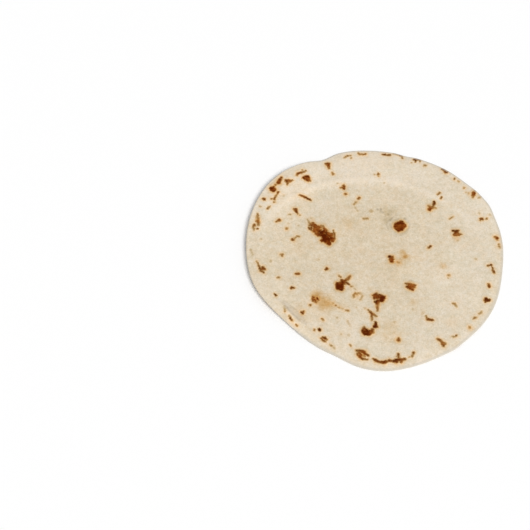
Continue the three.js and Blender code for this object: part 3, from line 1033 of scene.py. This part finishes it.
read_x, read_y = seen_at(x, y, upper)
upper_edge, upper_depth, upper_half = toasting(UPPER_MARKS, read_x, read_y)
under_edge, under_depth, under_half = toasting(UNDER_MARKS, x, y)
upper_darker, upper_golden = (blush(read_x, read_y, w) + clouds(read_x, read_y, w) for w in (0, 1))
under_darker, under_golden = (blush(x, y, w) + under_clouds(x, y, w) for w in (0, 1))
shade = shading(read_x, read_y)
print("toasted share of the upper face:", ((upper_edge < 0) & (turn == 0)).sum() / (turn == 0).sum())

# %% [markdown]
# ## Crust
#
# Toasted skin puffs up a little and crackles, and the shaded lines are pressed in. The same
# numbers that will colour the dough also shape it, so relief and colour can't drift apart.

# %% Crust
CRUST_FROM, CRUST_TO = 0.5, -0.9  # mm outside the mark, and mm inside it
CRUST_HEIGHT, CRUST_LUMPS, CRUST_LUMP_SIZE = 0.12, 0.07, 1.9
UNDER_LUMPS, UNDER_CRUST_SHARE = 0.1, 0.6


def crust(edge, depth, x, y, seed):
    """How toasted · (a low plateau + small lumps), in mm."""
    toasted = depth * (1 - rising(edge, CRUST_TO, CRUST_FROM))
    return toasted * (CRUST_HEIGHT + CRUST_LUMPS * grain(x, y, CRUST_LUMP_SIZE, seed))


under_crust = UNDER_CRUST_SHARE * crust(under_edge, under_depth, x, y, 8)
upper = upper + (crust(upper_edge, upper_depth, x, y, 6) - SHADE_DEPTH * shade) * inside
under_relief = UNDER_LUMPS * (1 + grain(x, y, 9, 7)) - under_crust
under = under + np.maximum(under_relief, 0) * rising(inset, 0, THINNING_BAND)
print("crust and all, mm:", upper.max().round(2))

# %% [markdown]
# ## Round the rim
#
# The edge is soft, so it isn't cut square: from the upper face to the underside it follows
# half an ellipse. The same formula serves the flat faces too, where the turn is 0 or 180 and
# nothing stands out. Last, the round is centred on the CAD model's box and matched to its size.
# How far that moves it is kept, because the camera has to move with it.

# %% Round the rim
outwards = EDGE_DEPTH * np.sin(np.radians(turn))
over = (1 + np.cos(np.radians(turn))) / 2
heights = under + over * (upper - under)
points = np.stack([x + outwards * out_x, y + outwards * out_y, heights], axis=1)
points[:, 2] -= points[:, 2].min()

low, high = points.min(axis=0), points.max(axis=0)
scale = (cad_high - cad_low)[:2] / (high - low)[:2]
centring = (cad_low + cad_high - low - high)[:2] / 2
points[:, :2] = cad_low[:2] + (points[:, :2] - low[:2]) * scale
print("moved by", centring.round(2), "scaled by", scale.round(4))
print("height, mm:", points[:, 2].max().round(2), "of", cad_high[2].round(2))

# %% [markdown]
# ## Stitching the rings
#
# Most neighbouring rings have different counts, so quads would not fit. Going round both at
# once, the one whose next point comes first steps on. Worked out for a whole ring at once:
# step j of the outer ring meets point ceil((j + 1) · a / b) - 1 of the inner one, and step i of
# the inner ring meets point floor((i + 1) · b / a) of the outer one.


# %% Stitching the rings
def stitch(first_start, a, second_start, b):
    """Triangles between a ring of a points and the next one of b points, all facing outwards."""
    j, i = np.arange(b), np.arange(a)
    meets_first = (np.ceil((j + 1) * a / b).astype(int) - 1) % a
    meets_second = (i + 1) * b // a % b
    next_j, next_i = second_start + (j + 1) % b, first_start + (i + 1) % a
    outer = np.stack([first_start + meets_first, second_start + j, next_j], axis=1)
    inner = np.stack([first_start + i, second_start + meets_second, next_i], axis=1)
    return np.concatenate([outer if b > 1 else outer[:0], inner if a > 1 else inner[:0]])


starts = np.cumsum(ring_counts) - ring_counts
triangles = np.concatenate(
    [
        stitch(starts[k], ring_counts[k], starts[k + 1], ring_counts[k + 1])
        for k in range(len(ring_counts) - 1)
    ]
)
print(len(triangles), "triangles")

# %% [markdown]
# ## The mesh and its numbers
#
# The material will need eight numbers at each point: how far it is outside the nearest mark,
# how deep the toasting is and how broad the mark, how much darker and more golden the clouds
# make it, its share of painted shade or highlight, how far in from the rim it lies, and whether
# the rim there lies flat, which decides where the painted edge shade goes. Named attributes
# carry them. Where the surface turns over, they pass from the upper face's to the underside's.

# %% The mesh and its numbers
MM = 0.001
TURNS_FROM, TURNS_TO = 50, 130  # where the upper face's numbers hand over to the underside's
FLAT_UP_TO, LIFTED_FROM = 0.8, 2.6
mesh = bpy.data.meshes.new("toasted_round")
mesh.from_pydata((points * MM).tolist(), [], triangles.tolist())
mesh.polygons.foreach_set("use_smooth", np.ones(len(triangles), bool))

turned = rising(turn, TURNS_FROM, TURNS_TO)
numbers = {
    "mark_distance": upper_edge + (under_edge - upper_edge) * turned,
    "toast_depth": upper_depth + (under_depth - upper_depth) * turned,
    "mark_half_width": upper_half + (under_half - upper_half) * turned,
    "darker": upper_darker + (under_darker - upper_darker) * turned,
    "more_golden": upper_golden + (under_golden - upper_golden) * turned,
    "shade": shade * (1 - turned),
    "from_rim": inset - outwards,
    "lies_flat": 1 - rising(lift(angle, 0), FLAT_UP_TO, LIFTED_FROM),
}
for name, values in numbers.items():
    carried = mesh.attributes.new(name, "FLOAT", "POINT")
    carried.data.foreach_set("value", values.astype(np.float32))
mesh.update()
tortilla = bpy.data.objects.new("toasted_round", mesh)
bpy.context.scene.collection.objects.link(tortilla)
print("mesh is sound:", not mesh.validate())

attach(tortilla, "root")
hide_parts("tortilla")

# %% [markdown]
# ## Helpers for the material
#
# A material is a small graph. Written out node by node it takes pages, so six helpers add a
# node, a sum, one of the mesh's numbers, a fade, a noise and a sum of noises. Patterns read
# Object coordinates in millimetres, so a size in the code is a size on the dough.

# %% Helpers for the material
dough = bpy.data.materials.new("toasted_dough")
dough.use_nodes = True
tree = dough.node_tree
tree.nodes.clear()


def add(kind, inputs, **settings):
    """Adds a node. Each input is a plain value, or another node's output to link from."""
    node = tree.nodes.new(kind)
    for name, value in settings.items():
        setattr(node, name, value)
    for socket, value in inputs.items():
        if isinstance(value, bpy.types.NodeSocket):
            tree.links.new(value, node.inputs[socket])
        else:
            node.inputs[socket].default_value = value
    return node


def maths(operation, *values):
    """One sum on numbers, such as ADD or MULTIPLY."""
    return add("ShaderNodeMath", dict(enumerate(values)), operation=operation).outputs[0]


def number(name):
    """One of the mesh's named numbers."""
    return add("ShaderNodeAttribute", {}, attribute_name=name).outputs["Fac"]


def fade(value, start, end, low=0.0, high=1.0):
    """From low where value is start to high where it is end, along the curve of ease."""
    inputs = {"Value": value, "From Min": start, "From Max": end, "To Min": low, "To Max": high}
    return add("ShaderNodeMapRange", inputs, interpolation_type="SMOOTHSTEP").outputs["Result"]


position = add("ShaderNodeTexCoord", {}).outputs["Object"]
in_mm = add("ShaderNodeVectorMath", {0: position, "Scale": 1 / MM}, operation="SCALE").outputs[0]
NOISE_ROUGHNESS = 0.55


def noise(size, detail, offset):
    """Noise from -1 to 1 with lumps of about size mm. Each offset gives another pattern."""
    shift = (offset, 2 * offset, 3 * offset)
    moved = add("ShaderNodeVectorMath", {0: in_mm, 1: shift}, operation="ADD")
    inputs = {"Vector": moved.outputs[0], "Scale": 1 / size, "Detail": detail}
    inputs["Roughness"] = NOISE_ROUGHNESS
    found = add("ShaderNodeTexNoise", inputs, noise_dimensions="3D")
    return maths("MULTIPLY_ADD", found.outputs[0], 2.0, -1.0)


def layers(base, *rows):
    """base + the sum of strength · noise, for rows of lump size, detail, offset and strength."""
    total = base
    for size, detail, offset, strength in rows:
        total = maths("MULTIPLY_ADD", noise(size, detail, offset), strength, total)
    return total


print(len(tree.nodes), "nodes so far")

# %% [markdown]
# ## How toasted, and how golden
#
# Two numbers from 0 to 1 drive the colour. The first says how dark the dough is toasted. The
# distance to the mark is roughened by noise first, because a real mark has a ragged edge made
# of tiny bubbles. Just outside the edge a narrow fringe is coloured. The second says how golden
# it is. It changes more slowly than the first: round a mark the dough turns golden before it
# darkens, and a small spot stays a duller brown than a broad burn.

# %% How toasted, and how golden
depth = number("toast_depth")
distance = layers(number("mark_distance"), (2.0, 2, 11.0, 0.8), (0.8, 2, 23.0, 0.7))
patchy = layers(0.95, (2.2, 3, 31.0, 0.5))
core = maths("MULTIPLY", fade(distance, 0.9, -1.05), maths("MULTIPLY", depth, patchy))
near_edge = fade(distance, 4.2, 0.2, 0.0, 0.125)
broad = fade(number("mark_half_width"), 0.5, 2.2, 0.1, 1.0)
fringe = maths("MULTIPLY", near_edge, maths("MULTIPLY", fade(depth, 0.1, 0.6), broad))
uneven = layers(1.0, (3.0, 3, 43.0, 0.5))
# the clouds' darkening: toast, and painted shade in the hollow and at the crease
raw = maths("MULTIPLY", number("darker"), uneven)
freckles = fade(noise(2.2, 2, 57.0), 0.45, 0.95, 0.0, 0.15)
blotched = layers(raw, (30.0, 1, 5.0, 0.03), (8.0, 2, 7.0, 0.06))
mottled = layers(blotched, (3.0, 1, 13.0, 0.08), (1.3, 2, 17.0, 0.11))
toasted = maths("ADD", maths("MAXIMUM", core, fringe), maths("ADD", mottled, freckles))

reach = fade(distance, 2.8, -2.3)
breadth = fade(number("mark_half_width"), 0.5, 1.9, 0.58, 1.0)
round_marks = maths("MULTIPLY", reach, maths("MULTIPLY", fade(depth, 0.0, 0.75), breadth))
golden_clouds = maths("MULTIPLY", number("more_golden"), uneven)
golden_mottled = layers(golden_clouds, (7.0, 2, 61.0, 0.11), (2.4, 2, 67.0, 0.11))
golden = maths("ADD", round_marks, golden_mottled)
print(len(tree.nodes), "nodes so far")

# %% [markdown]
# ## From raw dough to char
#
# Each row is how toasted, the colour at no gold, and the colour at full gold, both read off the
# photograph from pale to dark. The two colours have the same brightness, so the first number
# alone sets how dark a place is and the second only its hue. Colours are written as a screen
# shows them and turned into the linear values that a renderer adds up.

# %% From raw dough to char
TOAST_STOPS = [
    (0.0, (231, 219, 200), (255, 210, 150)),
    (0.07, (221, 209, 187), (255, 201, 134)),
    (0.15, (209, 196, 170), (245, 188, 117)),
    (0.24, (196, 182, 152), (232, 174, 99)),
    (0.35, (178, 163, 128), (213, 156, 80)),
    (0.48, (150, 135, 98), (188, 127, 57)),
    (0.62, (122, 107, 70), (161, 98, 39)),
    (0.76, (95, 80, 44), (136, 71, 21)),
    (0.89, (75, 60, 26), (114, 50, 8)),
    (1.0, (59, 43, 14), (90, 31, 0)),
]


def linear(colour):
    """((c / 255 + 0.055) / 1.055) to the power 2.4, the screen's curve undone."""
    return tuple(((channel / 255 + 0.055) / 1.055) ** 2.4 for channel in colour)


def coloured_by(value, stops):
    """A colour ramp through the stops, each a place from 0 to 1 and a screen colour."""
    node = add("ShaderNodeValToRGB", {"Fac": value})
    while len(node.color_ramp.elements) < len(stops):
        node.color_ramp.elements.new(1.0)
    for element, (place, _) in zip(node.color_ramp.elements, stops):
        element.position = place
    for element, (_, colour) in zip(node.color_ramp.elements, stops):
        element.color = (*linear(colour), 1.0)
    return node.outputs["Color"]


def mixed(share, first, second):
    """first · (1 - share) + second · share, for two colours."""
    node = add("ShaderNodeMix", {0: share}, data_type="RGBA")
    for socket, colour in ((node.inputs[6], first), (node.inputs[7], second)):
        if isinstance(colour, bpy.types.NodeSocket):
            tree.links.new(colour, socket)
        else:
            socket.default_value = (*linear(colour), 1.0)
    return node.outputs[2]


plain = coloured_by(toasted, [(place, dull) for place, dull, _ in TOAST_STOPS])
rich = coloured_by(toasted, [(place, warm) for place, _, warm in TOAST_STOPS])
dough_colour = mixed(golden, plain, rich)
print(len(TOAST_STOPS), "stops")

# %% [markdown]
# ## Light and dark
#
# Raw dough isn't one flat cream. It is a little lighter and darker in large soft clouds, in
# patches and in fine specks, a touch lighter towards its rim, and the shaded lines take light
# away as painted shade, or add it as a painted highlight where their share is negative. The
# layers are added up and multiply the colour. Some places are creamier: only their blue is less.
# At the very edge, where the rim lies flat, a thin grey line is painted: painted shade where the edge
# turns down.

# %% Light and dark
# the grey of the painted shade along the very edge
EDGE_SHADE_GREY = (197, 192, 182)
# up to 2 % lighter within 8 mm of the rim
lighter_towards_rim = fade(number("from_rim"), 8.0, 2.0, 1.0, 1.02)
lightness = layers(lighter_towards_rim, (34.0, 2, 3.0, 0.016), (6.0, 3, 71.0, 0.03), (0.9, 2, 83.0, 0.172))
gain = maths("SUBTRACT", lightness, number("shade"))
lit = add("ShaderNodeVectorMath", {0: dough_colour, "Scale": gain}, operation="SCALE").outputs[0]
blue = layers(1.0, (7.0, 3, 37.0, 0.022), (2.4, 2, 41.0, 0.018), (20.0, 2, 47.0, 0.02))
by_blue = add("ShaderNodeCombineXYZ", {0: 1.0, 1: 1.0, 2: blue}).outputs[0]
tinted = add("ShaderNodeVectorMath", {0: lit, 1: by_blue}, operation="MULTIPLY").outputs[0]
painted_edge_shade = maths("MULTIPLY", fade(number("from_rim"), 2.6, 0.4, 0.0, 0.6), number("lies_flat"))
coloured = mixed(painted_edge_shade, tinted, EDGE_SHADE_GREY)

# %% [markdown]
# ## The skin
#
# The mesh carries relief down to about 2 mm. Finer pores and the crackle of toasted skin are a
# bump, a height that only tilts the shading. Dough is matt, and toasted skin a touch smoother.

# %% The skin
BUMP_HEIGHT = 0.06 * MM
DOUGH_ROUGHNESS, CRUST_ROUGHNESS = 0.88, 0.78
DOUGH_SHINE, CRUST_SHINE = 0.1, 0.02
crackle = maths("MULTIPLY", core, noise(0.8, 3, 101.0))
height = layers(crackle, (1.1, 3, 91.0, 0.6), (0.45, 2, 97.0, 0.4))
bump = add("ShaderNodeBump", {"Height": height, "Distance": BUMP_HEIGHT, "Strength": 1.0})
surface = add(
    "ShaderNodeBsdfPrincipled",
    {
        "Base Color": coloured,
        "Roughness": fade(core, 0.0, 1.0, DOUGH_ROUGHNESS, CRUST_ROUGHNESS),
        "Specular IOR Level": fade(core, 0.0, 0.6, DOUGH_SHINE, CRUST_SHINE),
        "Normal": bump.outputs["Normal"],
    },
)
add("ShaderNodeOutputMaterial", {"Surface": surface.outputs["BSDF"]})
mesh.materials.append(dough)
print(len(tree.nodes), "nodes")

# %% [markdown]
# ## Floor and light
#
# A white floor and a white surround fill every shadow. One broad soft sun from the front right
# does the rest: it brightens rises that face it and throws the raised rim's soft shadow to the
# far left.

# %% Floor and light
FLOOR_HALF = 3.0
scene = bpy.context.scene
scene.view_settings.view_transform = "Standard"

corners = [(FLOOR_HALF * a, FLOOR_HALF * b, 0) for a, b in ((-1, -1), (1, -1), (1, 1), (-1, 1))]
floor_mesh = bpy.data.meshes.new("floor")
floor_mesh.from_pydata(corners, [], [(0, 1, 2, 3)])
floor = bpy.data.objects.new("floor", floor_mesh)
scene.collection.objects.link(floor)

WHITE = (1, 1, 1, 1)
paper = bpy.data.materials.new("white_paper")
paper.use_nodes = True
paper_surface = paper.node_tree.nodes["Principled BSDF"]
paper_surface.inputs["Base Color"].default_value = WHITE
paper_surface.inputs["Roughness"].default_value = 0.9
floor_mesh.materials.append(paper)

SURROUND_STRENGTH = 0.5
world = bpy.data.worlds.new("white_surround")
world.use_nodes = True
surround = world.node_tree.nodes["Background"]
surround.inputs["Color"].default_value = WHITE
surround.inputs["Strength"].default_value = SURROUND_STRENGTH
scene.world = world
print("floor", 2 * FLOOR_HALF, "m wide, surround", SURROUND_STRENGTH)

# %% Lamp
LAMP_AZIMUTH, LAMP_ELEVATION, LAMP_DISTANCE = -55, 50, 1.4
LAMP_SOFTNESS, LAMP_STRENGTH = 28, 2.05
lamp_data = bpy.data.lights.new("soft_key", "SUN")
lamp_data.angle = math.radians(LAMP_SOFTNESS)
lamp_data.energy = LAMP_STRENGTH
lamp = bpy.data.objects.new("soft_key", lamp_data)
flat = math.cos(math.radians(LAMP_ELEVATION))
lamp.location = (
    LAMP_DISTANCE * flat * math.cos(math.radians(LAMP_AZIMUTH)),
    LAMP_DISTANCE * flat * math.sin(math.radians(LAMP_AZIMUTH)),
    LAMP_DISTANCE * math.sin(math.radians(LAMP_ELEVATION)),
)
lamp.rotation_euler = (-lamp.location).to_track_quat("-Z", "Y").to_euler()
scene.collection.objects.link(lamp)
print("lamp at", [round(place, 2) for place in lamp.location])

# %% [markdown]
# ## Camera
#
# The photograph looks down at 58 degrees through a fairly long lens, from where the marks were
# read off above.

# %% Camera
LOOKING_DOWN = 58
LENS, SENSOR_WIDTH = 70, 36
camera_data = bpy.data.cameras.new("camera")
camera_data.lens = LENS
camera_data.sensor_width = SENSOR_WIDTH
camera = bpy.data.objects.new("camera", camera_data)
camera.location = tuple(MM * (place + moved) for place, moved in zip(EYE, (*centring, 0)))
camera.rotation_euler = (math.radians(90 - LOOKING_DOWN), 0, 0)
scene.collection.objects.link(camera)
scene.camera = camera
print("camera at", [round(place, 3) for place in camera.location])
